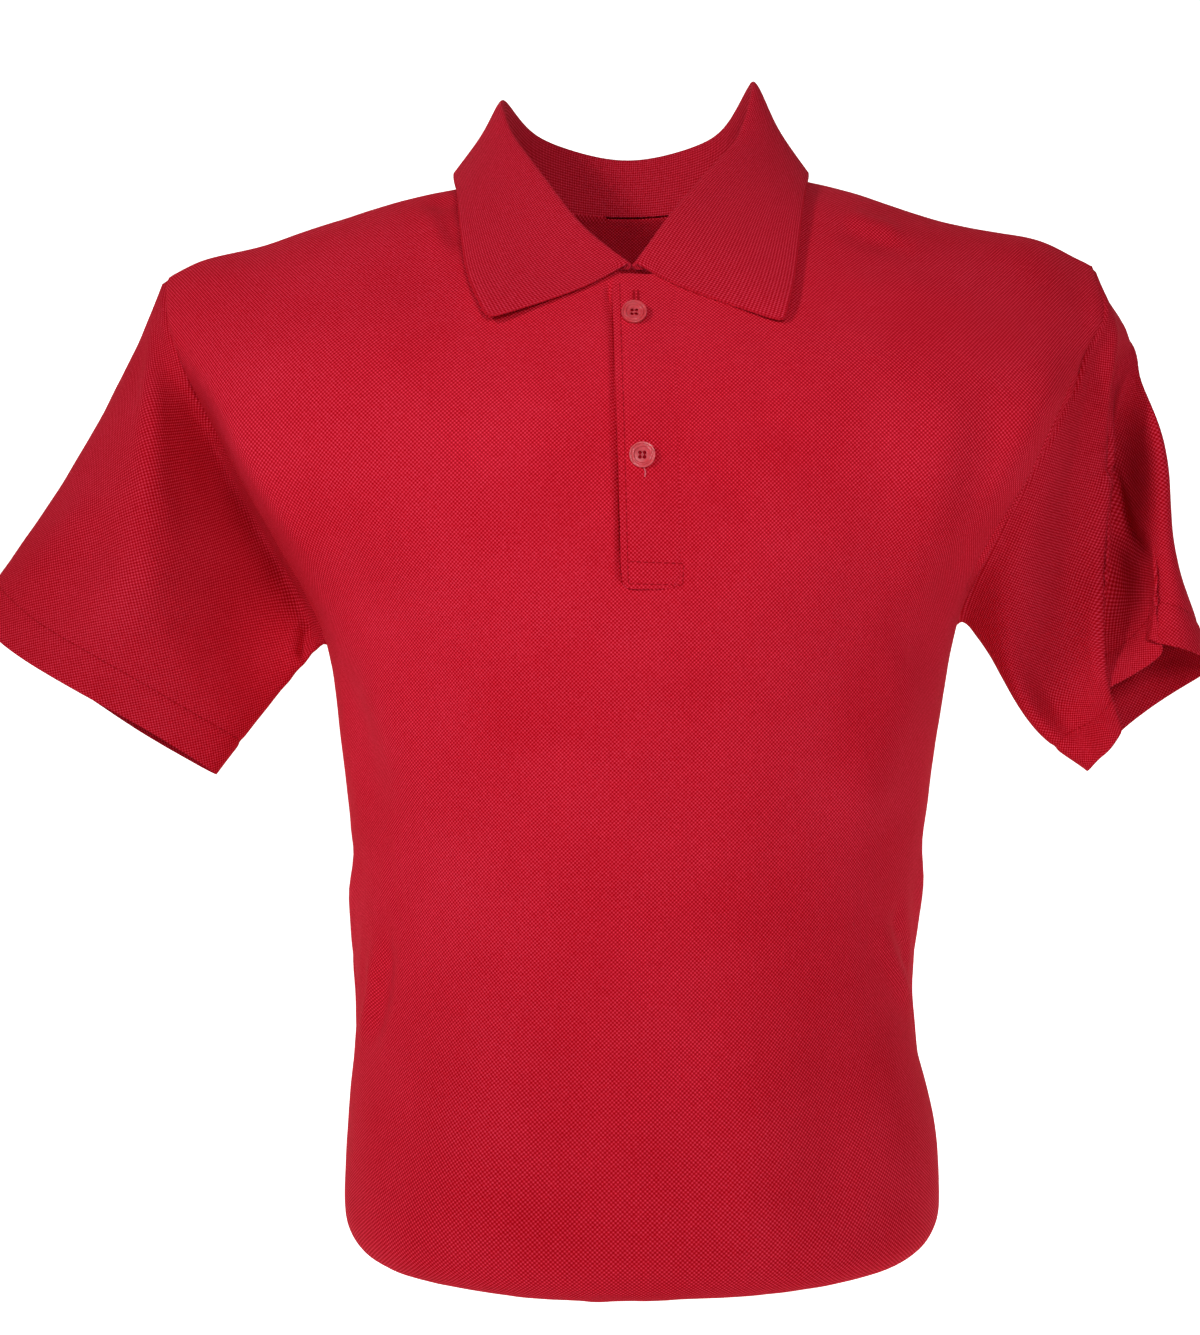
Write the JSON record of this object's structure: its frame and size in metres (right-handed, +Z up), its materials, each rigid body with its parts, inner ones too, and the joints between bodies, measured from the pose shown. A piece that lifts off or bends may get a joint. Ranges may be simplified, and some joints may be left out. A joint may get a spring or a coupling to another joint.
{
  "type": "polo shirt",
  "caption": "Short-sleeved knitted polo shirt with a rib collar and a buttoned half placket, filled out as if worn, with empty sleeves.",
  "frame": {"origin": "middle of the neck, level with the highest points of the shoulder seams, where the wearer's shoulders hold the shirt", "axes": "+X towards the wearer's left, +Y towards the back, +Z up; the placket and buttons face -Y"},
  "size_m": [0.6486, 0.2352, 0.606],
  "materials": {
    "pique_red": "matte pique knit",
    "rib_red": "matte rib knit",
    "button_red": "semi-gloss"
  },
  "bodies": {
    "root": {"front_panel": "pique_red", "back_panel": "pique_red", "sleeve_right": "pique_red", "sleeve_left": "pique_red", "placket_top": "pique_red", "placket_under": "pique_red", "collar": "rib_red", "button_top": "button_red", "button_bottom": "button_red"}
  },
  "joints": []
}
